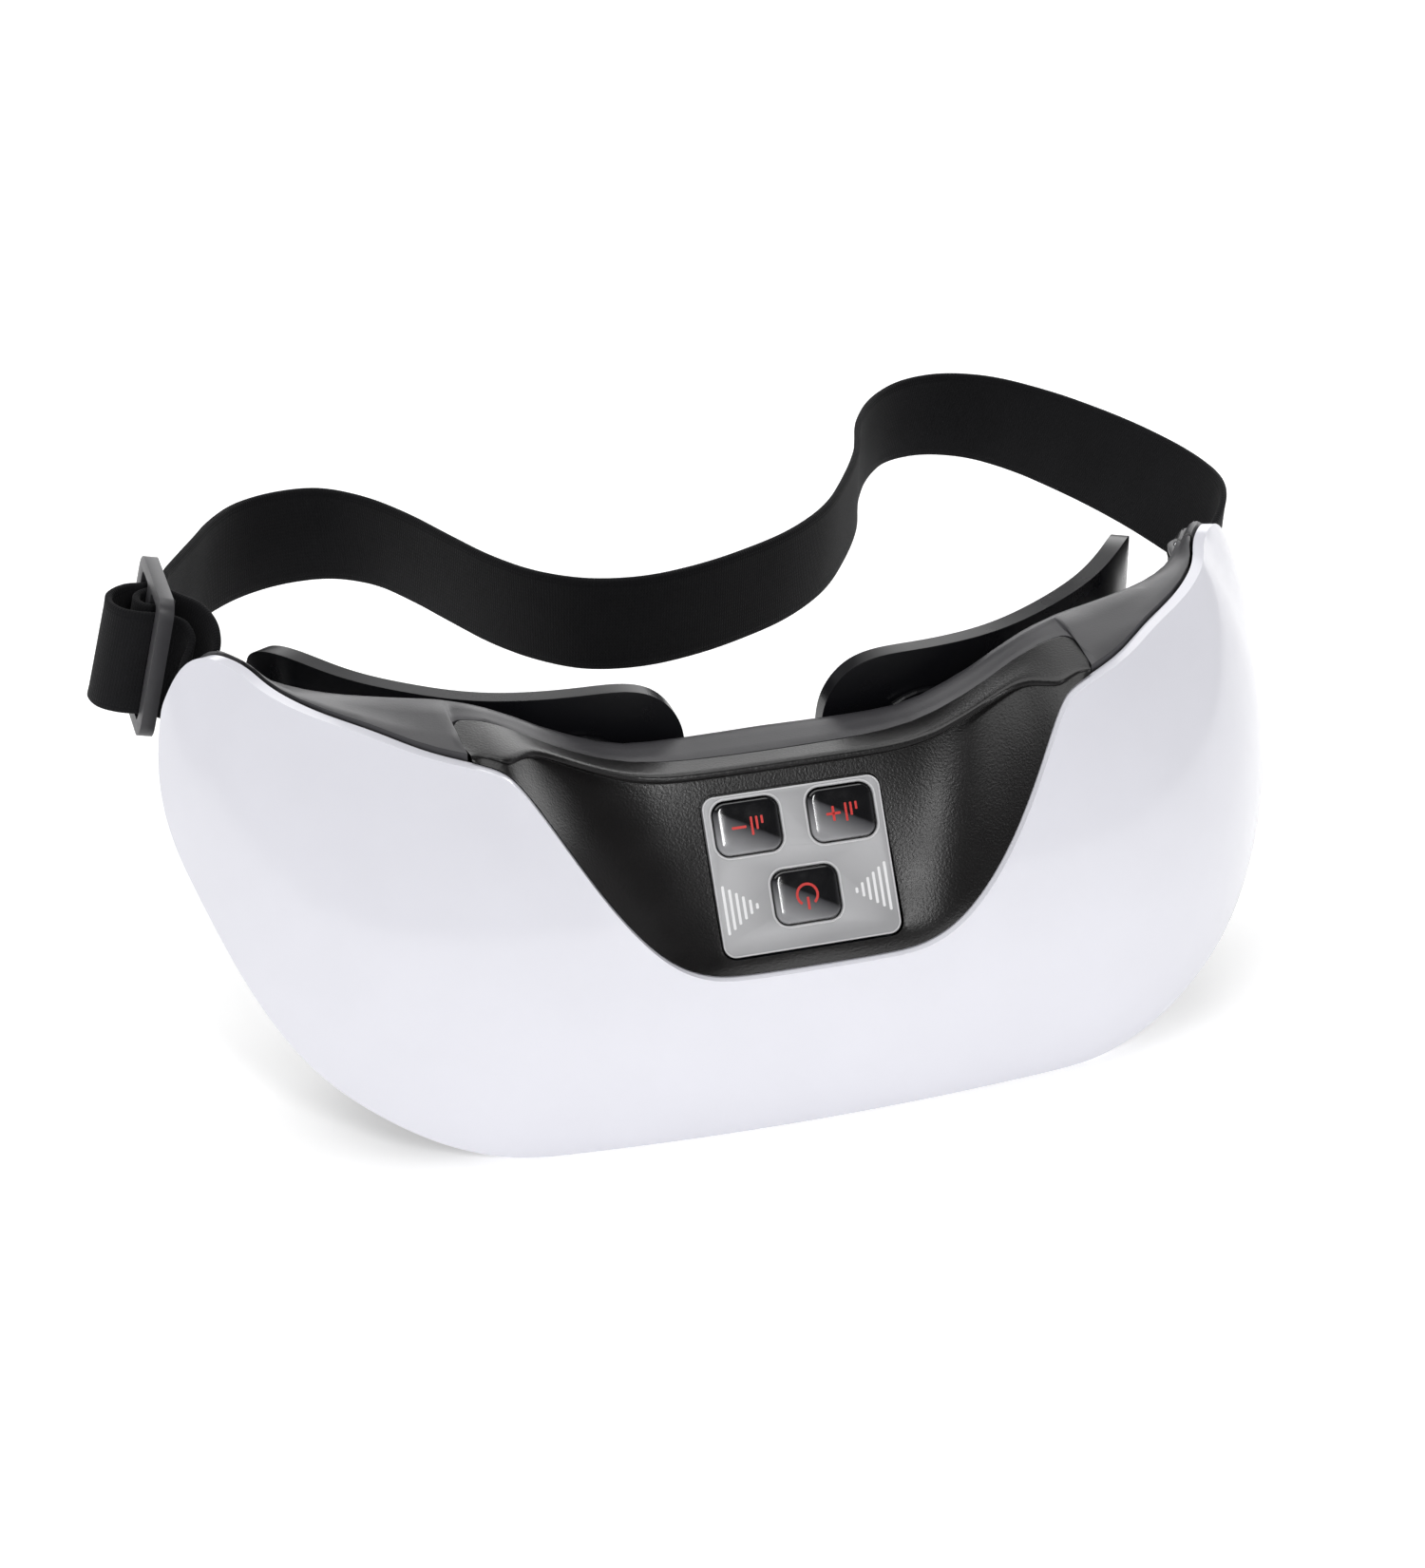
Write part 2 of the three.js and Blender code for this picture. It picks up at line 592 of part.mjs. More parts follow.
function eyePad(side) {
  const last = PAD_COLUMNS.length - 1;
  const pad = bent(last, 8, 1, (u, v, w) => {
    const x = PAD_COLUMNS[Math.round(u * last)];
    const { point, normal } = onPad(side, x, lerp(padFoot(x), padTop(x), v));
    return point.map((value, axis) => value - normal[axis] * PAD_THICKNESS * w);
  });
  const pockets = MAGNET_PLACES.map(([x, z]) => {
    const { point, normal } = onPad(side, x, z);
    return aim(rod(MAGNET.radius + GAP, -MAGNET.thickness - GAP, 3, 16), point, normal);
  });
  return cut(pad, ...pockets);
}

function magnet(side, [x, z]) {
  const { radius, thickness } = MAGNET;
  const bead = turned([
    [0, -thickness], [radius, -thickness], [radius, 0.1], [radius * 0.8, 0.7], [radius * 0.4, 1.05], [0, 1.15],
  ], 14);
  const { point, normal } = onPad(side, x, z);
  return aim(bead, point, normal);
}

const padStemCentre = (side) => [side * 32, 41.7, 48.5];
const padStemAxis = (side) => [side * -0.135, 1, 0];
const onStem = (geometry, side) => aim(geometry, padStemCentre(side), padStemAxis(side));

// The round foot that carries a pad, with its stem through the housing's back wall.
function padMount(side) {
  const foot = turned([[0, -1.0], [12.2, -1.0], [12.5, -0.7], [12.5, 0], [0, 0]], 32);
  const body = join(foot, rod(3.9, -5.6, -0.5, 20));
  return onStem(cut(body, rod(1.1, -7, -1.4, 12)), side);
}

function padWasher(side) {
  return onStem(cut(rod(6.2, -6.8, -6.0), rod(1.2, -8, -5, 12)), side);
}

// ---------------------------------------------------------------- strap lugs, strap and adjuster

const LUG_COLUMNS = [122.8, 124.4, 126, 127.7, 129.3];
const HOOD = { columns: [128.5, 130, 131.4, 132.6, 133.6, 134.4], foot: 70.4, rows: 5, inset: 0.15 }; // over the pin

function strapLug(side) {
  const sections = LUG_COLUMNS.map((distance) => {
    const { outer } = housingSection(side * distance);
    const front = outer.map((point) => onFront(side * distance, point[2], behindCover(distance)));
    return { outer, front };
  });
  const last = LUG_COLUMNS.length - 1;
  const rows = sections[0].outer.length - 1;
  const block = bent(last, rows, 1, (u, v, w) => {
    const { outer, front } = sections[Math.round(u * last)];
    return (w < 0.5 ? outer : front)[Math.round(v * rows)];
  });
  const hoodSections = HOOD.columns.map((distance) => {
    const front = (height) => onFront(side * distance, height, behindCover(distance) + HOOD.inset);
    const { outer } = housingSection(side * distance);
    const top = outer.slice(0, HOOD.rows + 1).map(([x, y, z], row) => {
      const [frontX, frontY] = front(z);
      return row ? [lerp(x, frontX, 0.05), lerp(y, frontY, 0.05), z - HOOD.inset] : front(z - HOOD.inset);
    });
    return [top, top.map(([x, y], row) => (row ? [x, y, HOOD.foot] : front(HOOD.foot)))];
  });
  const hoodLast = HOOD.columns.length - 1;
  const hood = bent(hoodLast, HOOD.rows, 1, (u, v, w) => (
    hoodSections[Math.round(u * hoodLast)][Math.round(w)][Math.round(v * HOOD.rows)]
  ));
  const frame = lugFrame(side);
  const ear = new THREE.Shape();
  ear.absarc(0, 0, EAR.radius, -Math.PI / 2, Math.PI / 2);
  ear.lineTo(-EAR.reach, EAR.radius);
  ear.lineTo(-EAR.reach, -EAR.radius);
  const hole = new THREE.Path();
  hole.absarc(0, 0, PIN_RADIUS + GAP, 0, 2 * Math.PI);
  ear.holes.push(hole);
  const far = EAR.height + EAR.thickness;
  const web = new THREE.BoxGeometry(2, 2 * EAR.radius - 0.5, 2 * EAR.height + 1).translate(1.4 - EAR.reach, 0, 0);
  const ears = [slab(ear, EAR.height, far), slab(ear, -far, -EAR.height), web];
  return join(block, hood, ...ears.map((geometry) => geometry.applyMatrix4(frame)));
}

// The lug's own frame: x along the mask's end, z along the pin.
function lugFrame(side) {
  const z = new THREE.Vector3(side * LUG_AXIS[0], LUG_AXIS[1], LUG_AXIS[2]).normalize();
  const along = new THREE.Vector3(side * 0.26, 0.966, 0);
  const y = new THREE.Vector3().crossVectors(z, along).normalize();
  const x = new THREE.Vector3().crossVectors(y, z);
  const frame = new THREE.Matrix4().makeBasis(x, y, z);
  return frame.setPosition(side * LUG_CENTRE[0], LUG_CENTRE[1], LUG_CENTRE[2]);
}

function strapPin(side) {
  const half = EAR.height + EAR.thickness;
  return rod(PIN_RADIUS, -half, half).applyMatrix4(lugFrame(side));
}

// Where the strap passes round a lug's pin, at angles in plan.
function roundPin(side, angles) {
  const radius = PIN_RADIUS + STRAP_THICKNESS / 2 + 1.5 * GAP;
  const [x, y, z] = LUG_CENTRE;
  const share = STRAP_WIDTH / Math.hypot(...LUG_AXIS);
  return angles.map((angle) => {
    const turn = THREE.MathUtils.degToRad(angle);
    const plan = [side * (x + radius * Math.cos(turn)), y + radius * Math.sin(turn)];
    return [...plan, z, side * share * LUG_AXIS[0], share * LUG_AXIS[1]];
  });
}

// The strap's route, from its sewn end at the right lug, round the back, through the adjuster and round the
// left lug to the adjuster's middle bar: x, y, height of its middle, and how far its top edge leads its
// bottom edge in x and in y.
const STRAP_ROUTE = [
  [98.5, 75.7, 58.3, -2.6, 1.3], [96.5, 73.4, 57.6, -3.6, 1.6], [94.4, 70.8, 57.1, -4.2, 1.7],
  ...roundPin(1, [190, 250, 310]), [98.8, 69.3, 57.4, -4, 1.7], [102.8, 74.2, 59, -1.5, 1],
  [106.4, 81, 60.9, 1.5, 0], [107.4, 89, 62.2, 5, -1], [105.2, 101.5, 63, 8.5, -2], [100.8, 115.5, 63.4, 8, -2],
  [95.5, 128, 63.6, 7, -3],
  [89.5, 140, 63.5, 6, -4], [82, 149.5, 63.4, 4, -4], [73.5, 153.7, 63.3, 3, -4], [65, 152.5, 63.2, 2, -4],
  [57.5, 146, 63.1, 0, -4], [51.3, 135.5, 63, -1, -4], [46.7, 123, 63, -1, -4], [40.4, 111, 63, -1, -4],
  [32, 98.5, 63, 0, -3], [22, 89.5, 63, 0, -3], [12, 84, 63, 0, -3], [1, 79.8, 63, 0, -3],
  [-10, 78, 63, 0, -3], [-20, 80, 63, 0, -3], [-28, 86, 63, -1, -3], [-34.5, 95, 63, -1, -3],
  [-40, 106, 63.1, -1, -3], [-45.5, 117.5, 63.2, -1, -3], [-51.5, 126.5, 63.4, -2, -2],
  [-59, 131.7, 63.6, -2, -1], [-67.5, 131.8, 63.8, -1, -1], [-76, 128, 64.2, 0, -1], [-83, 120.5, 65, 2, -1],
  [-88.5, 111.5, 65.8, 4, 0], [-93, 104, 66.4, 5, 0], [-96, 98.4, 66.7, 5, 0], [-97.8, 94.6, 66.8, 5, 0],
  [-100.8, 93, 66.8, 5, 0], [-104.4, 93.3, 66.8, 5, 0], [-107.4, 91.3, 66.8, 5, 0], [-108.2, 88, 66.8, 5, 0],
  [-106.9, 84.2, 66.8, 5, 0], [-103.8, 81.6, 66.7, 5, 0], [-99.9, 80.8, 66.1, 5, 0], [-96.2, 79.6, 64.8, 5, 0],
  [-95.4, 76.5, 62.6, 5, 0.6], [-97.3, 73.1, 59.8, 4.4, 1.2], [-98.4, 70.4, 57.7, 4.2, 1.7],
  ...roundPin(-1, [-15, -82, -149]), [-93.5, 69.8, 57.3, 4.2, 1.7], [-92.5, 72.4, 58.9, 4.6, 1.4],
  [-91.2, 75.4, 61.8, 5.2, 1], [-91, 79, 64.3, 5, 0.5],
  [-92.6, 82.8, 66.1, 5, 0], [-95.8, 86.6, 66.8, 5, 0], [-97.7, 89.2, 66.8, 5, 0], [-100.2, 90.5, 66.8, 5, 0],
  [-102.8, 89.4, 66.8, 5, 0], [-103.4, 86.8, 66.8, 5, 0], [-102, 84.2, 66.8, 5, 0], [-99.4, 83.6, 66.8, 5, 0],
  [-97.2, 84.8, 66.8, 5, 0],
];
const STEPS_PER_POINT = 3;

function strapEdge(end) {
  const points = STRAP_ROUTE.map(([x, y, z, aheadX, aheadY]) => {
    const rise = Math.sqrt(STRAP_WIDTH ** 2 - aheadX ** 2 - aheadY ** 2);
    return new THREE.Vector3(x + (end * aheadX) / 2, y + (end * aheadY) / 2, z + (end * rise) / 2);
  });
  return new THREE.CatmullRomCurve3(points, false, 'centripetal');
}

function strapBand() {
  const [top, bottom] = [strapEdge(1), strapEdge(-1)];
  const steps = (STRAP_ROUTE.length - 1) * STEPS_PER_POINT;
  return bent(steps, 1, 1, (u, v, w) => {
    const [high, low] = [top.getPoint(u), bottom.getPoint(u)];
    const forward = top.getTangent(u).add(bottom.getTangent(u));
    const across = high.clone().sub(low);
    const normal = new THREE.Vector3().crossVectors(forward, across).normalize();
    return low.lerp(high, v).addScaledVector(normal, (w - 0.5) * STRAP_THICKNESS).toArray();
  });
}

const GLIDE = { width: 23.5, height: 27, thickness: 2.6, middleBar: 3.5, slot: 6.4, slotHeight: 22.6 };
const GLIDE_CENTRE = [-99.9, 87, 66.8];
const GLIDE_LEAN = 0.24;

function triGlide() {
  const shape = roundedShape(GLIDE.width, GLIDE.height, 3.2);
  for (const side of [-1, 1]) {
    const x = side * (GLIDE.middleBar + GLIDE.slot) / 2;
    shape.holes.push(roundedShape(GLIDE.slot, GLIDE.slotHeight, 1.2, x, 0));
  }
  const y = new THREE.Vector3(GLIDE_LEAN, 0, 1).normalize();
  const x = new THREE.Vector3(0, 1, 0);
  const frame = new THREE.Matrix4().makeBasis(x, y, new THREE.Vector3().crossVectors(x, y));
  frame.setPosition(...GLIDE_CENTRE);
  return slab(shape, -GLIDE.thickness / 2, GLIDE.thickness / 2).applyMatrix4(frame);
}

// ---------------------------------------------------------------- assembly

group.position.y = -REST_CENTRE_Y;

const control = new THREE.Group();
control.position.set(...PLATE_CENTRE);
control.rotation.x = PLATE_TILT;
control.updateMatrix();
group.add(control);

add('front_cover', frontCover(), LOOKS.gloss);
add('rear_housing', rearHousing(), LOOKS.frame);
add('control_panel', controlPanel(control), LOOKS.panel);
add('button_plate', buttonPlate(), LOOKS.silver, control);
for (const [name, [x, y]] of Object.entries(KEY_PLACES)) {
  add(name, keyCap(), LOOKS.key, control).position.set(x, y, 0);
  add(name.replace('button', 'switch'), tactSwitch(), LOOKS.steel, control).position.set(x, y, 0);
}
add('keypad_gasket', keypadGasket(), LOOKS.silicone, control);
add('circuit_board', circuitBoard(), LOOKS.board, control);
add('battery_cell', batteryCell(), LOOKS.battery);
add('battery_tape', box(30, 1.0, 14, 0, 4.3, 20), LOOKS.silicone);
add('charge_socket', chargeSocket(), LOOKS.steel);

for (const [word, side] of [['left', -1], ['right', 1]]) {
  const clampHead = [side * CLAMP_SCREW.x, CLAMP_SCREW.y - 2.2 - GAP, CLAMP_SCREW.z];
  const stemEnd = padStemCentre(side).map((value, axis) => {
    const unit = new THREE.Vector3(...padStemAxis(side)).normalize().toArray();
    return value + unit[axis] * (-6.8 - GAP);
  });
  add(`board_screw_${word}`, screw(4, [0, 0, 0], [0, 0, 1]), LOOKS.steel, control)
    .position.set(side * 17.6, 0, BOARD_FRONT - 1.2 - GAP);
  add(`vibration_motor_${word}`, vibrationMotor(side), LOOKS.steel);
  add(`eccentric_weight_${word}`, eccentricWeight(side), LOOKS.steel);
  add(`motor_clamp_${word}`, motorClamp(side), LOOKS.frame);
  add(`clamp_screw_${word}`, screw(6, clampHead, [0, 1, 0]), LOOKS.steel);
  add(`eye_pad_${word}`, eyePad(side), LOOKS.pad);
  add(`pad_mount_${word}`, padMount(side), LOOKS.pad);
  add(`pad_washer_${word}`, padWasher(side), LOOKS.steel);
  add(`pad_screw_${word}`, screw(4.5, stemEnd, padStemAxis(side)), LOOKS.steel);
  MAGNET_PLACES.forEach((place, index) => {
    add(`magnet_${word}_${index + 1}`, magnet(side, place), LOOKS.steel);
  });
  add(`strap_lug_${word}`, strapLug(side), LOOKS.frame);
  add(`strap_pin_${word}`, strapPin(side), LOOKS.steel);
}

add('strap_band', strapBand(), LOOKS.strap);
add('tri_glide', triGlide(), LOOKS.slider);

export default group;
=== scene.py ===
import json
import math

import bmesh
import bpy
import numpy as np
from mathutils import Matrix, Vector


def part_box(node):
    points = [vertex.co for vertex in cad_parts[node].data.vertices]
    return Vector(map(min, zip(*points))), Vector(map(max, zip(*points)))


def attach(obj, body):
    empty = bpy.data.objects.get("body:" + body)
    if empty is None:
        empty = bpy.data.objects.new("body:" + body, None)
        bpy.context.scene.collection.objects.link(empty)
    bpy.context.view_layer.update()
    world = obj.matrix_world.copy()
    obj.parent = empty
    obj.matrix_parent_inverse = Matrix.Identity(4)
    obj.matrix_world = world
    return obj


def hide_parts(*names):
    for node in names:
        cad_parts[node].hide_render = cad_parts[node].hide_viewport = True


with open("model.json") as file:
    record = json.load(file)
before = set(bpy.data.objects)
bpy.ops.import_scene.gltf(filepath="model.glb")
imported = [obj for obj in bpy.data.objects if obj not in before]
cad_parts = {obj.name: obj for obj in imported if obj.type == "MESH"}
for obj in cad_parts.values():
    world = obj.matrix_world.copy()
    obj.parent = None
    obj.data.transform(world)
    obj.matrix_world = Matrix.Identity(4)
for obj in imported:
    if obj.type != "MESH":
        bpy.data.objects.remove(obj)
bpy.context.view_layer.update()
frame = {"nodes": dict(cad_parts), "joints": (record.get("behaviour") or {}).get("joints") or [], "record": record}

MM = 0.001
NODES = frame["nodes"]

WELD = 0.002 * MM  # vertices closer than this are one
STRAP = {"width": 20 * MM, "thickness": 1.15 * MM, "tail_seam": 5 * MM}
PLATE = {"width": 32 * MM, "height": 27.8 * MM, "thickness": 1.2 * MM, "corner": 2.2 * MM}
KEY = {"width": 11.6 * MM, "height": 9.2 * MM, "corner": 2.2 * MM}
KEY_PLACES = {"minus": (-8.5, 8.1), "plus": (8.5, 8.1), "power": (0.0, -5.0)}
FANS = {"bars": 6, "first": 14.6, "pitch": 1.12, "tallest": 8.5, "step": 1.5, "width": 0.5, "y": -5.6}
SIDES = {"left": -1, "right": 1}
SEAM_CORNER = {
    "x": 54 * MM, "y": 13 * MM, "wide": 14 * MM, "deep": 14 * MM, "above": 60 * MM, "rise": 1.0 * MM,
}
CAMERA = {"turn": 16.56, "drop": 29.0, "roll": 0.17, "lens": 79.65, "place": (-161.45, -496.51, 347.17)}
# Each light: place, target, size, power, and whether glossy faces show it.
LIGHTS = {
    "top_light": ((-0.2, 0.5, 1.7), (0, 0, 0), (2.4, 1.6), 26, True),
    "front_light": ((-0.7, -1.7, 1.1), (0, 0, 0.04), (2.4, 1.6), 9.5, False),
    "back_light": ((0.9, 1.3, 0.5), (0, 0, 0.06), (2.0, 0.8), 11, True),
    "panel_strip": ((0.06, -1.0, 0.95), (0.02, -0.01, 0.045), (0.10, 0.5), 4.2, True),
}


# ------------------------------------------------------------------ meshes

def new_piece(name, bm, mat, body="root", smooth=True):
    """A mesh object from a bmesh, riding on a body."""
    mesh = bpy.data.meshes.new(name)
    bm.to_mesh(mesh)
    bm.free()
    for polygon in mesh.polygons:
        polygon.use_smooth = smooth
    obj = bpy.data.objects.new(name, mesh)
    bpy.context.scene.collection.objects.link(obj)
    mesh.materials.append(mat)
    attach(obj, body)
    return obj


def body_of_node(node):
    return next(body for body, members in frame["record"]["behaviour"]["bodies"].items() if node in members)


def slot_of_node(node):
    return next(row["material_slot"] for row in frame["record"]["subparts"] if row["node"] == node)


def swell(bm):
    """Raise the surface a little round the two corners of the panel's seam, to soften the band's crease."""
    for vert in bm.verts:
        aside = (abs(vert.co.x) - SEAM_CORNER["x"]) / SEAM_CORNER["wide"]
        behind = (vert.co.y - SEAM_CORNER["y"]) / SEAM_CORNER["deep"]
        if abs(aside) < 1 and abs(behind) < 1 and vert.co.z > SEAM_CORNER["above"]:
            vert.co.z += SEAM_CORNER["rise"] * (1 - aside ** 2) ** 2 * (1 - behind ** 2) ** 2


def refined(node, mat, bevel=0.4, segments=3, levels=2, sharp=40, flat=False):
    """A finer copy of a CAD node: triangles joined to quads, sharp edges rounded, the rest subdivided."""
    bm = bmesh.new()
    bm.from_mesh(NODES[node].data)
    if node in ("rear_housing", "control_panel"):
        swell(bm)
    bmesh.ops.remove_doubles(bm, verts=bm.verts, dist=WELD)
    if flat:
        bmesh.ops.dissolve_limit(bm, angle_limit=math.radians(1), verts=bm.verts, edges=bm.edges)
    else:
        bmesh.ops.join_triangles(
            bm, faces=bm.faces,
            angle_face_threshold=math.radians(35), angle_shape_threshold=math.radians(150),
        )
    bmesh.ops.recalc_face_normals(bm, faces=bm.faces)
    weight = bm.edges.layers.float.new("bevel_weight_edge")
    for edge in bm.edges:
        if edge.calc_face_angle(0) > math.radians(sharp):
            edge[weight] = 1
    piece = new_piece(node + "_skin", bm, mat, body_of_node(node))
    round_off = piece.modifiers.new("round", "BEVEL")
    round_off.limit_method = "WEIGHT"
    round_off.width = bevel * MM
    round_off.segments = segments
    round_off.miter_outer = "MITER_ARC"
    round_off.harden_normals = levels == 0
    if levels:
        divide = piece.modifiers.new("divide", "SUBSURF")
        divide.levels = divide.render_levels = levels
    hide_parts(node)
    return piece


def rounded_outline(width, height, corner, count=10):
    """Points of a rounded rectangle about the origin, counter-clockwise."""
    points = []
    corner = max(0.02 * MM, corner)
    for quarter, (sx, sy) in enumerate([(1, 1), (-1, 1), (-1, -1), (1, -1)]):
        centre = Vector((sx * (width / 2 - corner), sy * (height / 2 - corner)))
        for step in range(count + 1):
            angle = math.pi / 2 * (quarter + step / count)
            points.append(centre + corner * Vector((math.cos(angle), math.sin(angle))))
    return points


def cap(bm, place, width, height, corner, profile, count=10):
    """A rounded rectangular cap: rings at (inset, height) steps from its foot to its middle."""
    rings = []
    for inset, rise in profile:
        outline = rounded_outline(width - 2 * inset, height - 2 * inset, corner - inset, count)
        rings.append([bm.verts.new(place @ Vector((p.x, p.y, rise))) for p in outline])
    for low, high in zip(rings, rings[1:]):
        for i in range(len(low)):
            j = (i + 1) % len(low)
            bm.faces.new((low[i], low[j], high[j], high[i]))
    bm.faces.new(rings[-1])
    bm.faces.new(list(reversed(rings[0])))


# ------------------------------------------------------------------ materials

class Nodes:
    """A small helper to write node trees in a few lines."""

    def __init__(self, name):
        self.material = bpy.data.materials.new(name)
        self.material.use_nodes = True
        self.tree = self.material.node_tree
        self.shader = self.tree.nodes["Principled BSDF"]

    def add(self, kind, settings=None, **inputs):
        node = self.tree.nodes.new(kind)
        for key, value in (settings or {}).items():
            setattr(node, key, value)
        for key, value in inputs.items():
            self.set(node, key.replace("_", " "), value)
        return node

    def set(self, node, key, value):
        socket = node.inputs[int(key)] if key.isdigit() else node.inputs[key]
        if isinstance(value, bpy.types.NodeSocket):
            self.tree.links.new(value, socket)
        else:
            socket.default_value = value

    def math(self, operation, a, b=0.0):
        node = self.add("ShaderNodeMath", {"operation": operation})
        self.set(node, "0", a)
        self.set(node, "1", b)
        return node.outputs[0]

    def noise(self, scale, detail=3.0, vector=None, roughness=0.5):
        node = self.add("ShaderNodeTexNoise", Scale=scale, Detail=detail, Roughness=roughness)
        if vector is None:
            vector = self.add("ShaderNodeTexCoord").outputs["Object"]
        self.tree.links.new(vector, node.inputs["Vector"])
        return node.outputs["Fac"]

    def ramp(self, value, *stops):
        node = self.add("ShaderNodeValToRGB", Fac=value)
        elements = node.color_ramp.elements
        while len(elements) < len(stops):
            elements.new(0.5)
        for element, (position, color) in zip(elements, stops):
            element.position = position
            element.color = (*color, 1) if hasattr(color, "__len__") else (color, color, color, 1)
        return node.outputs["Color"]

    def bump(self, height, strength, distance):
        bump = self.add("ShaderNodeBump", Height=height, Strength=strength, Distance=distance * MM)
        return bump.outputs[0]


def grained(name, color, roughness, spread, grain, depth, tint, metallic=0.0, **sockets):
    """Moulded plastic, rubber or metal: mottled colour, uneven gloss and a fine grain."""
    n = Nodes(name)
    blotch = n.noise(60, 4)
    low = tuple(c * (1 - tint) for c in color)
    high = tuple(c * (1 + tint) for c in color)
    n.set(n.shader, "Base Color", n.ramp(blotch, (0.3, low), (0.7, high)))
    fine = n.noise(grain, 2)
    smudge = n.noise(90, 5)
    n.set(n.shader, "Roughness", n.ramp(smudge, (0.3, roughness - spread), (0.7, roughness + spread)))
    n.set(n.shader, "Normal", n.bump(fine, 0.6, depth))
    n.set(n.shader, "Metallic", metallic)
    for key, value in sockets.items():
        n.set(n.shader, key.replace("_", " "), value)
    return n.material


def satin_silver():
    """Satin silver plate with a fine, barely visible grain and faint smudges."""
    n = Nodes("plate_silver")
    fine = n.noise(5200, 2)
    cloud = n.noise(70, 3)
    n.set(n.shader, "Base Color", n.ramp(cloud, (0.3, (0.40, 0.40, 0.41)), (0.7, (0.46, 0.46, 0.47))))
    n.set(n.shader, "Roughness", n.ramp(cloud, (0.3, 0.46), (0.7, 0.54)))
    n.set(n.shader, "Normal", n.bump(fine, 0.3, 0.006))
    n.set(n.shader, "Metallic", 0.35)
    return n.material


def woven_elastic():
    """Elastic webbing: cross ribs, lengthwise cords and soft selvedges, in the strap's flat frame."""
    n = Nodes("strap_elastic")
    flat = n.add("ShaderNodeUVMap", {"uv_map": "flat"}).outputs[0]
    along, across = (n.add("ShaderNodeSeparateXYZ", Vector=flat).outputs[i] for i in (0, 1))
    rib_pitch, cord_pitch = 0.55 * MM, 0.8 * MM
    rib = n.math("SINE", n.math("MULTIPLY", along, 2 * math.pi / rib_pitch))
    cord = n.math("SINE", n.math("MULTIPLY", across, 2 * math.pi / cord_pitch))
    crossed = n.math("MULTIPLY", rib, cord)
    weave = n.math("ADD", n.math("MULTIPLY", rib, 0.5), n.math("MULTIPLY", crossed, 0.5))
    fuzz = n.noise(4000, 3)
    height = n.math("ADD", weave, n.math("MULTIPLY", fuzz, 0.8))
    edge = n.math("DIVIDE", n.math("ABSOLUTE", across), STRAP["width"] / 2)
    selvedge = n.ramp(edge, (0.86, 0.0), (0.885, 1.0), (0.905, 0.0), (1.0, 0.25))
    shade = n.math("ADD", n.math("MULTIPLY", n.noise(120, 4), 0.5), n.math("MULTIPLY", weave, 0.18))
    base = n.ramp(shade, (0.05, (0.0055, 0.0055, 0.0062)), (0.55, (0.0095, 0.0095, 0.0108)))
    darkened = n.math("MULTIPLY", selvedge, 0.55)
    dark = n.add("ShaderNodeMixRGB", Fac=darkened, Color1=base, Color2=(0.004, 0.004, 0.005, 1))
    n.set(n.shader, "Base Color", dark.outputs[0])
    n.set(n.shader, "Roughness", n.ramp(fuzz, (0.3, 0.78), (0.7, 0.95)))
    n.set(n.shader, "Normal", n.bump(n.math("SUBTRACT", height, selvedge), 0.6, 0.06))
    n.set(n.shader, "Sheen Weight", 0.04)
    n.set(n.shader, "Sheen Roughness", 0.5)
    n.set(n.shader, "Specular IOR Level", 0.15)
    return n.material


def key_gloss():
    """Glossy key, black towards one corner and grey towards the other: the grey is a painted reflection in the
    base colour. Faint finger marks vary its gloss.
    """
    n = Nodes("key_black")
    flat = n.add("ShaderNodeUVMap", {"uv_map": "flat"}).outputs[0]
    x, y = (n.add("ShaderNodeSeparateXYZ", Vector=flat).outputs[i] for i in (0, 1))
    # Painted reflection: the base colour runs from black to grey along this diagonal, with a noisy edge.
    reflection_slant = n.math("ADD", n.math("MULTIPLY", x, 0.7), y)
    reflection_edge_noise = n.math("MULTIPLY", n.noise(350, 2), 0.06)
    fade = n.math("ADD", n.math("SUBTRACT", 0.42, reflection_slant), reflection_edge_noise)
    n.set(n.shader, "Base Color", n.ramp(fade, (0.40, (0.006, 0.006, 0.007)), (0.47, (0.06, 0.06, 0.065)),
                                         (1.0, (0.30, 0.30, 0.31))))
    n.set(n.shader, "Roughness", n.ramp(n.noise(400, 4), (0.35, 0.10), (0.75, 0.20)))
    n.set(n.shader, "Coat Weight", 0.5)
    n.set(n.shader, "Coat Roughness", 0.05)
    return n.material


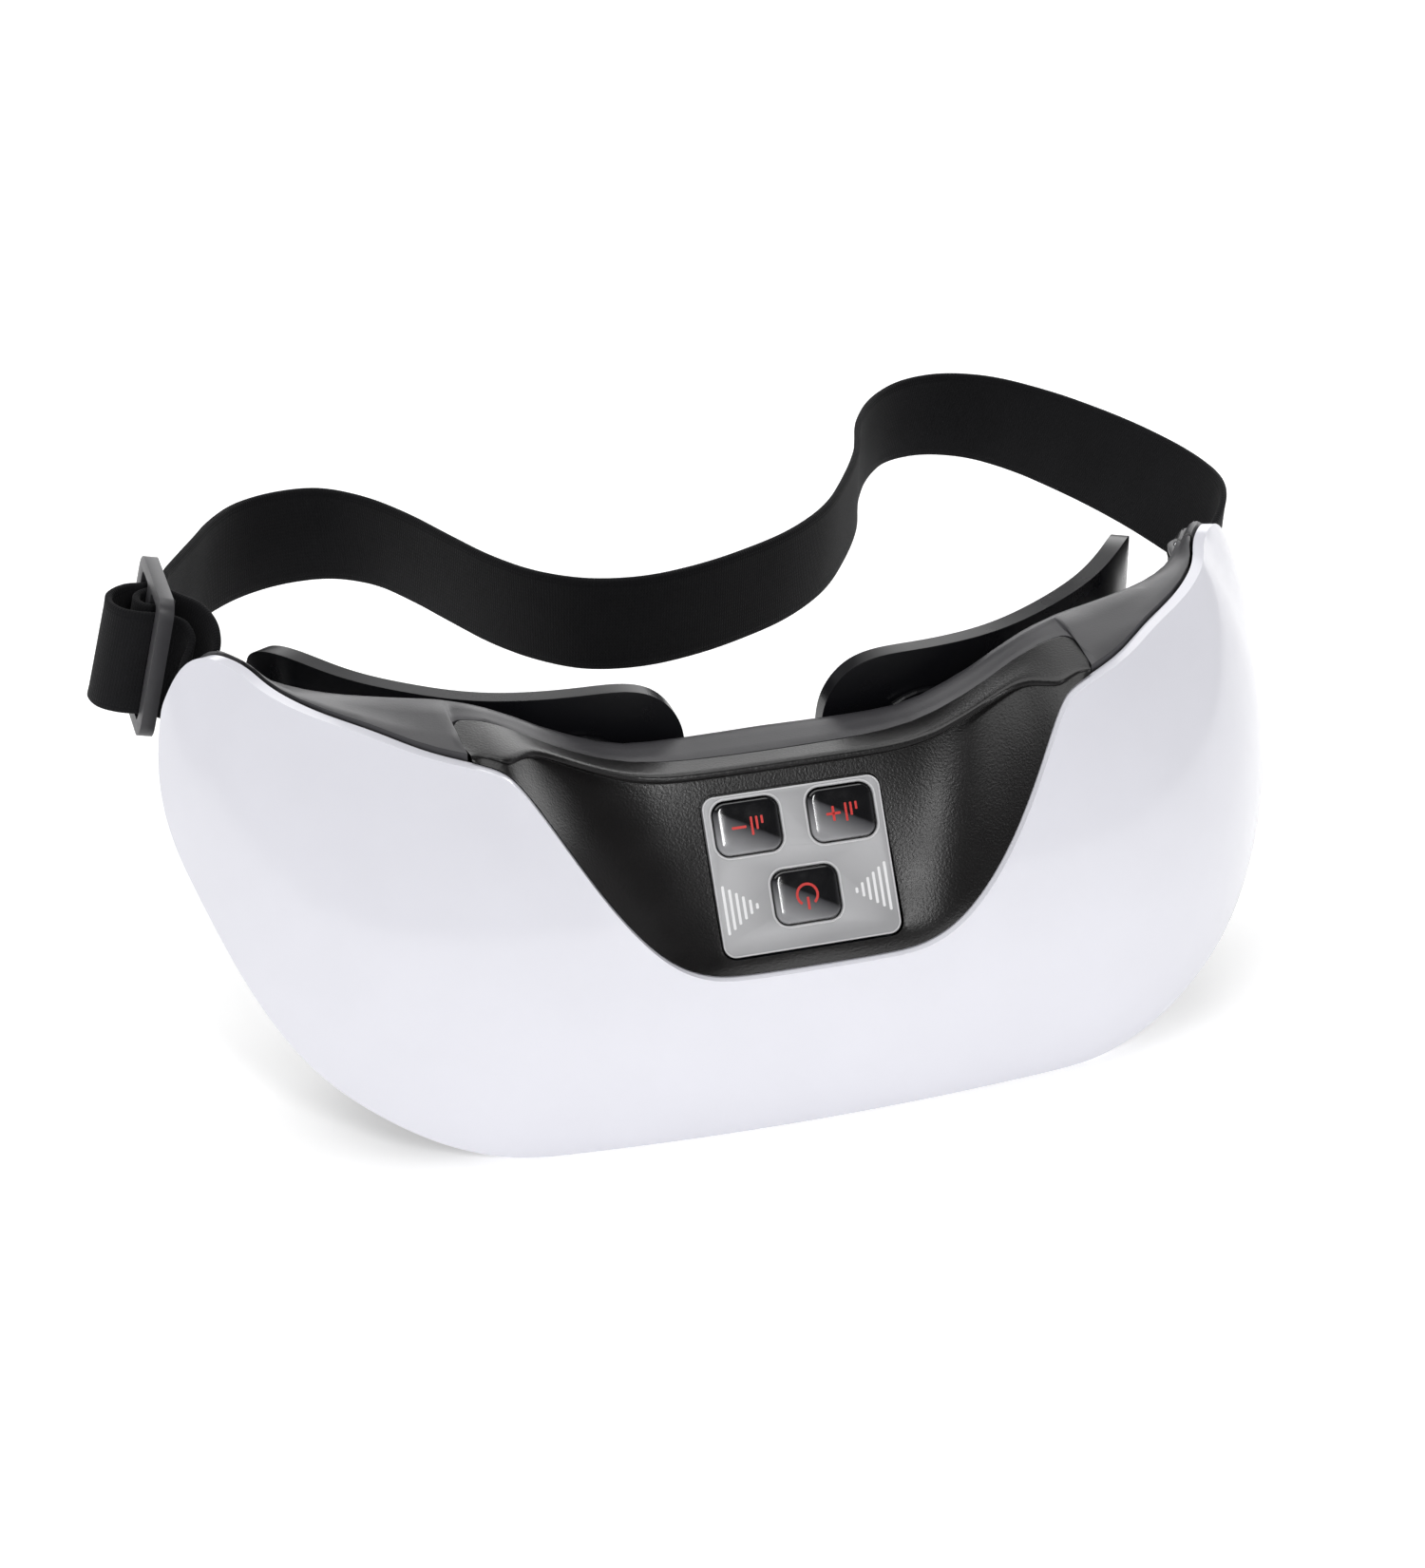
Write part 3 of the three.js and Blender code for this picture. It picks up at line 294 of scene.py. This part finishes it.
# Each grained look: name, colour, roughness and its spread, grain scale, grain depth in mm, and tint.
LOOKS = {
    "gloss_white": grained("gloss_white", (0.79, 0.79, 0.85), 0.17, 0.04, 900, 0.004, 0.012,
                           Coat_Weight=0.6, Coat_Roughness=0.06),
    "housing_grey": grained("housing_grey", (0.045, 0.044, 0.048), 0.40, 0.05, 2600, 0.03, 0.08),
    "panel_black": grained("panel_black", (0.008, 0.0075, 0.0077), 0.31, 0.03, 2400, 0.08, 0.35,
                           Specular_IOR_Level=0.45),
    "plate_silver": satin_silver(),
    "key_black": key_gloss(),
    "pad_black": grained("pad_black", (0.006, 0.006, 0.0075), 0.30, 0.06, 1200, 0.008, 0.2,
                         Specular_IOR_Level=0.35),
    "strap_elastic": woven_elastic(),
    "slider_grey": grained("slider_grey", (0.05, 0.049, 0.053), 0.42, 0.06, 2400, 0.03, 0.1),
    "steel": grained("steel", (0.55, 0.56, 0.57), 0.28, 0.08, 3000, 0.01, 0.06, metallic=1.0),
    "switch_metal": grained("switch_metal", (0.45, 0.45, 0.46), 0.35, 0.08, 3000, 0.01, 0.1, metallic=0.9),
    "board_green": grained("board_green", (0.02, 0.11, 0.04), 0.45, 0.08, 1500, 0.02, 0.2),
    "battery_wrap": grained("battery_wrap", (0.27, 0.30, 0.33), 0.35, 0.1, 700, 0.03, 0.1, metallic=0.6),
    "silicone_grey": grained("silicone_grey", (0.5, 0.5, 0.5), 0.7, 0.08, 1800, 0.02, 0.06),
}
SIGN_RED = grained("sign_red", (0.62, 0.035, 0.03), 0.3, 0.05, 3000, 0.004, 0.1)
# A lighter silver than the plate, for its rims: a painted highlight along the plate's edge and round the key
# windows.
RIM_PAINTED_HIGHLIGHT = grained("rim_painted_highlight", (0.60, 0.60, 0.61), 0.42, 0.05, 3000, 0.003, 0.03)
BAR_WHITE = grained("bar_white", (0.85, 0.85, 0.86), 0.35, 0.05, 3000, 0.004, 0.03)
THREAD = grained("strap_thread", (0.018, 0.018, 0.02), 0.7, 0.1, 6000, 0.05, 0.2)


# ------------------------------------------------------------------ the mask

for name, obj in NODES.items():
    obj.data.materials.clear()
    obj.data.materials.append(LOOKS[slot_of_node(name)])

refined("front_cover", LOOKS["gloss_white"], bevel=1.15, segments=4, levels=2, sharp=50)
refined("rear_housing", LOOKS["housing_grey"], bevel=0.1, segments=2, levels=0, sharp=50)
refined("control_panel", LOOKS["panel_black"], bevel=0.1, segments=2, levels=1, sharp=50)
refined("button_plate", LOOKS["plate_silver"], bevel=0.3, segments=3, levels=0, sharp=40, flat=True)
refined("tri_glide", LOOKS["slider_grey"], bevel=0.8, segments=4, levels=0, sharp=40, flat=True)
for side in SIDES:
    refined(f"eye_pad_{side}", LOOKS["pad_black"], bevel=0.9, segments=3, levels=2, sharp=50)
    refined(f"strap_lug_{side}", LOOKS["housing_grey"], bevel=0.3, segments=2, levels=0, sharp=40)


# ------------------------------------------------------------------ keys, signs and bars

PRESS = Vector(next(j["axis"] for j in frame["joints"] if j["name"] == "button_power_press"))
PLATE_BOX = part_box("button_plate")
PLATE_MIDDLE = (PLATE_BOX[0] + PLATE_BOX[1]) / 2 - PRESS * PLATE["thickness"] / 2
PLATE_FRAME = Matrix.Translation(PLATE_MIDDLE) @ Matrix((
    (1, 0, 0, 0), (0, -PRESS.z, -PRESS.y, 0), (0, PRESS.y, -PRESS.z, 0), (0, 0, 0, 1),
))


def key_skin(name, place):
    """A pillowed key cap whose flat coordinates run over its face from -0.5 to 0.5."""
    bm = bmesh.new()
    profile = [
        (0, -1.4), (0, -0.25), (0.07, -0.02), (0.22, 0.15),
        (0.5, 0.27), (1.0, 0.34), (2.2, 0.40), (3.8, 0.43),
    ]
    cap(bm, place, KEY["width"], KEY["height"], KEY["corner"], [(i * MM, h * MM) for i, h in profile], 12)
    flat = bm.loops.layers.uv.new("flat")
    back = place.inverted()
    for face in bm.faces:
        for loop in face.loops:
            local = back @ loop.vert.co
            loop[flat].uv = (local.x / KEY["width"], local.y / KEY["height"])
    piece = new_piece(f"{name}_skin", bm, LOOKS["key_black"], name)
    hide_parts(name)


def ring_arc(bm, place, inner, outer, gap, low, high, steps=40):
    """An open ring with square edges; its opening, at the foot, spans twice the gap in degrees."""
    spots = []
    for step in range(steps + 1):
        angle = math.radians(-90 + gap + step * (360 - 2 * gap) / steps)
        ray = Vector((math.cos(angle), math.sin(angle), 0))
        for radius, rise in ((inner, low), (inner, high), (outer, high), (outer, low)):
            spots.append(bm.verts.new(place @ (radius * ray + Vector((0, 0, rise)))))
    for step in range(steps):
        for corner in range(4):
            a, b = 4 * step + corner, 4 * step + (corner + 1) % 4
            bm.faces.new((spots[a], spots[b], spots[b + 4], spots[a + 4]))
    bm.faces.new(spots[:4])
    bm.faces.new(spots[-4:])


def sign(name, place, body):
    """A generic sign on a key: rising bars with a minus or a plus, or an open ring with a stroke."""
    bm = bmesh.new()
    low, high = 0.36 * MM, 0.47 * MM
    profile = [(0, low), (0, high - 0.01 * MM), (0.01 * MM, high)]

    def bar(x, y, width, height):
        spot = place @ Matrix.Translation((x * MM, y * MM, 0))
        cap(bm, spot, width * MM, height * MM, 0.15 * MM, profile, 3)

    if name == "power":
        ring_arc(bm, place, 1.6 * MM, 2.05 * MM, 38, low, high)
        bar(0, -1.5, 0.45, 2.2)
    else:
        for step in range(3):
            bar(2.6 - 0.95 * step, 0.45 * (2 - step), 0.42, 3.2 - 0.9 * (2 - step))
        bar(-1.6, 0, 2.6, 0.45)
    if name == "plus":
        bar(-1.6, 0, 0.45, 2.6)
    bmesh.ops.recalc_face_normals(bm, faces=bm.faces)
    piece = new_piece(f"{name}_sign", bm, SIGN_RED, body, smooth=False)


def rim(bm, place, width, height, corner, band):
    """A thin raised frame along a rounded rectangle, reaching inwards by the band."""
    rings = []
    for inset, rise in ((0.0, 0.005), (0.0, 0.07), (0.35 * band, 0.11), (band, 0.07), (band, 0.005)):
        outline = rounded_outline(width - 2 * inset * MM, height - 2 * inset * MM, corner - inset * MM)
        rings.append([bm.verts.new(place @ Vector((p.x, p.y, rise * MM))) for p in outline])
    count = len(rings[0])
    for low, high in zip(rings, rings[1:] + rings[:1]):
        for i in range(count):
            j = (i + 1) % count
            bm.faces.new((low[i], low[j], high[j], high[i]))
    bmesh.ops.recalc_face_normals(bm, faces=bm.faces)


# Thin raised rims round the plate and each key window; their lighter silver is a painted highlight along these
# edges.
highlight_rims = bmesh.new()
rim(highlight_rims, PLATE_FRAME, PLATE["width"], PLATE["height"], PLATE["corner"], 0.3)
for x, y in KEY_PLACES.values():
    hole = PLATE_FRAME @ Matrix.Translation((x * MM, y * MM, 0))
    rim(highlight_rims, hole, KEY["width"] + 1.5 * MM, KEY["height"] + 1.5 * MM, KEY["corner"] + 0.75 * MM, 0.32)
new_piece("plate_rims_painted_highlight", highlight_rims, RIM_PAINTED_HIGHLIGHT)

for name, (x, y) in KEY_PLACES.items():
    spot = PLATE_FRAME @ Matrix.Translation((x * MM, y * MM, 0))
    key_skin(f"button_{name}", spot)
    sign(name, spot, f"button_{name}")

fans = bmesh.new()
for side in SIDES.values():
    for step in range(FANS["bars"]):
        tall = FANS["tallest"] - FANS["step"] * step
        x = side * (FANS["first"] - FANS["pitch"] * step)
        spot = PLATE_FRAME @ Matrix.Translation((x * MM, FANS["y"] * MM, 0))
        profile = [(0, 0.005 * MM), (0, 0.04 * MM), (0.02 * MM, 0.05 * MM)]
        cap(fans, spot, FANS["width"] * MM, tall * MM, 0.22 * MM, profile, 4)
new_piece("fan_bars", fans, BAR_WHITE, smooth=False)


# ------------------------------------------------------------------ strap

def strap_rails():
    """The strap's two edges, section by section, walked along the CAD strap from its sewn end."""
    bm = bmesh.new()
    bm.from_mesh(NODES["strap_band"].data)
    bmesh.ops.remove_doubles(bm, verts=bm.verts, dist=WELD)
    crossing = [e for e in bm.edges if e.calc_length() > 0.95 * STRAP["width"]]
    ends = [e for e in crossing if e.calc_face_angle(0) > math.radians(60)]

    def middle(edge):
        return (edge.verts[0].co + edge.verts[1].co) / 2

    sewn_end = middle(max(ends, key=lambda e: e.verts[0].co.x))
    ring = {v for e in ends for v in e.verts if (middle(e) - sewn_end).length < 2 * MM}
    seen = set(ring)
    rails = []
    while ring:
        ordered = sorted(ring, key=lambda v: v.co.z)
        half = len(ordered) // 2
        edges = (ordered[:half], ordered[half:])
        rails.append([sum((v.co for v in edge), Vector()) / half for edge in edges])
        ring = {e.other_vert(v) for v in ring for e in v.link_edges} - seen
        seen |= ring
    bm.free()
    return np.array(rails)


def smooth_rails(rails, parts):
    """Catmull-Rom points between the sections."""
    padded = np.concatenate([[2 * rails[0] - rails[1]], rails, [2 * rails[-1] - rails[-2]]])
    points = []
    for i in range(1, len(padded) - 2):
        a, b, c, d = padded[i - 1:i + 3]
        for t in np.arange(parts) / parts:
            square = (2 * a - 5 * b + 4 * c - d) * t ** 2
            cube = (3 * b - a - 3 * c + d) * t ** 3
            points.append(0.5 * (2 * b + (c - a) * t + square + cube))
    return np.array(points + [rails[-1]])


RAILS = smooth_rails(strap_rails(), 3)
CENTRES = RAILS.mean(axis=1)
ALONG = np.concatenate([[0], np.cumsum(np.linalg.norm(np.diff(CENTRES, axis=0), axis=1))])


def strap_frame(index):
    """Centre, forward, across and outward directions of the strap at a section, and its half width."""
    low, high = RAILS[index]
    forward = CENTRES[min(index + 1, len(CENTRES) - 1)] - CENTRES[max(index - 1, 0)]
    forward /= np.linalg.norm(forward)
    across = (high - low) / 2
    half = np.linalg.norm(across)
    across = across / half
    normal = np.cross(forward, across)
    return CENTRES[index], forward, across, normal / np.linalg.norm(normal), half


def strap_skin():
    """The webbing: a thin band with rolled selvedges, and its flat coordinates in metres."""
    bm = bmesh.new()
    flat = bm.loops.layers.uv.new("flat")
    thick = STRAP["thickness"] / 2
    spread = np.linspace(-1, 1, 13) * 0.965
    section = [(s, 1.0) for s in spread] + [(0.99, 0.75), (1.0, 0.3), (1.0, -0.3), (0.99, -0.75)]
    section += [(-s, -1.0) for s in spread] + [(-0.99, -0.75), (-1.0, -0.3), (-1.0, 0.3), (-0.99, 0.75)]
    selvedge = [1.12 if 0.84 < abs(s) < 0.97 else 1.0 for s, _ in section]
    rings = []
    for index in range(len(CENTRES)):
        centre, _, across, normal, width = strap_frame(index)
        rings.append([
            bm.verts.new(centre + across * width * s + normal * thick * t * r)
            for (s, t), r in zip(section, selvedge)
        ])
    count = len(section)
    for index, (ring, after) in enumerate(zip(rings, rings[1:])):
        for i in range(count):
            j = (i + 1) % count
            face = bm.faces.new((ring[i], ring[j], after[j], after[i]))
            spots = ((index, i), (index, j), (index + 1, j), (index + 1, i))
            for loop, (row, column) in zip(face.loops, spots):
                loop[flat].uv = (ALONG[row], section[column][0] * STRAP["width"] / 2)
    bm.faces.new(rings[0])
    bm.faces.new(rings[-1])
    bmesh.ops.recalc_face_normals(bm, faces=bm.faces)
    piece = new_piece("strap_webbing", bm, LOOKS["strap_elastic"])
    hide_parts("strap_band")
    return piece


def stitches(name, index):
    """A box stitch through the strap about a section: two rows across and two short ones near its edges."""
    bm = bmesh.new()
    lift = STRAP["thickness"] / 2 * 1.02
    marks = [(3.5 * MM * end, side, True) for end in (-1, 1) for side in np.linspace(-0.8, 0.8, 8)]
    marks += [(ahead, side, False) for side in (-0.8, 0.8) for ahead in np.linspace(-2.2, 2.2, 3) * MM]
    for ahead, side, is_row in marks:
        step = int(np.argmin(np.abs(ALONG - (ALONG[index] + ahead))))
        spot, forward, across, normal, half = strap_frame(step)
        run = across if is_row else forward
        turn = Matrix(np.column_stack([run, np.cross(normal, run), normal]).tolist()).to_4x4()
        place = Matrix.Translation(Vector(spot + across * half * side + normal * lift)) @ turn
        bmesh.ops.create_uvsphere(
            bm, u_segments=8, v_segments=6, radius=1.0,
            matrix=place @ Matrix.Diagonal((0.75 * MM, 0.2 * MM, 0.14 * MM, 1)),
        )
    return new_piece(name, bm, THREAD)


webbing = strap_skin()
threads = [stitches("tail_stitches", int(np.argmin(np.abs(ALONG - STRAP["tail_seam"]))))]


# ------------------------------------------------------------------ studio

def floor():
    bm = bmesh.new()
    bmesh.ops.create_grid(bm, x_segments=1, y_segments=1, size=6)
    mesh = bpy.data.meshes.new("floor")
    bm.to_mesh(mesh)
    bm.free()
    obj = bpy.data.objects.new("floor", mesh)
    bpy.context.scene.collection.objects.link(obj)
    n = Nodes("studio_floor")
    n.set(n.shader, "Base Color", (0.93, 0.93, 0.93, 1))
    n.set(n.shader, "Roughness", 0.9)
    n.set(n.shader, "Specular IOR Level", 0.1)
    n.set(n.shader, "Emission Color", (1, 1, 1, 1))
    n.set(n.shader, "Emission Strength", 0.38)
    mesh.materials.append(n.material)


def soft_light(name, place, target, size, power, reflected):
    """A rectangular studio light; one that isn't reflected leaves no highlight on glossy faces."""
    data = bpy.data.lights.new(name, "AREA")
    data.shape = "RECTANGLE"
    data.size, data.size_y = size
    data.energy = power
    obj = bpy.data.objects.new(name, data)
    bpy.context.scene.collection.objects.link(obj)
    obj.location = place
    obj.rotation_euler = (Vector(target) - Vector(place)).to_track_quat("-Z", "Y").to_euler()
    obj.visible_glossy = reflected


def sky():
    """Studio walls: pale near the horizon, dark above it."""
    world = bpy.data.worlds.new("studio")
    world.use_nodes = True
    tree = world.node_tree
    where = tree.nodes.new("ShaderNodeTexCoord")
    parts = tree.nodes.new("ShaderNodeSeparateXYZ")
    fade = tree.nodes.new("ShaderNodeValToRGB")
    tree.links.new(where.outputs["Generated"], parts.inputs["Vector"])
    tree.links.new(parts.outputs["Z"], fade.inputs["Fac"])
    tree.links.new(fade.outputs["Color"], tree.nodes["Background"].inputs["Color"])
    low, high = fade.color_ramp.elements
    low.position, low.color = 0.12, (0.52, 0.52, 0.53, 1)
    high.position, high.color = 0.50, (0.05, 0.05, 0.05, 1)
    bpy.context.scene.world = world


def camera():
    """The eye: 16.6 degrees to the left of the front, 29 degrees above it, 0.63 m away."""
    turn, drop, roll = (math.radians(CAMERA[angle]) for angle in ("turn", "drop", "roll"))
    forward = Vector((math.sin(turn) * math.cos(drop), math.cos(turn) * math.cos(drop), -math.sin(drop)))
    right = Vector((math.cos(turn), -math.sin(turn), 0))
    up = right.cross(forward)
    across = right * math.cos(roll) - up * math.sin(roll)
    above = right * math.sin(roll) + up * math.cos(roll)
    data = bpy.data.cameras.new("camera")
    data.lens = CAMERA["lens"]
    data.clip_start = 0.01
    obj = bpy.data.objects.new("camera", data)
    bpy.context.scene.collection.objects.link(obj)
    place = Matrix((across, above, -forward)).transposed().to_4x4()
    place.translation = Vector(CAMERA["place"]) * MM
    obj.matrix_world = place
    bpy.context.scene.camera = obj


floor()
for name, settings in LIGHTS.items():
    soft_light(name, *settings)
sky()
bpy.context.scene.view_settings.view_transform = "Standard"
camera()
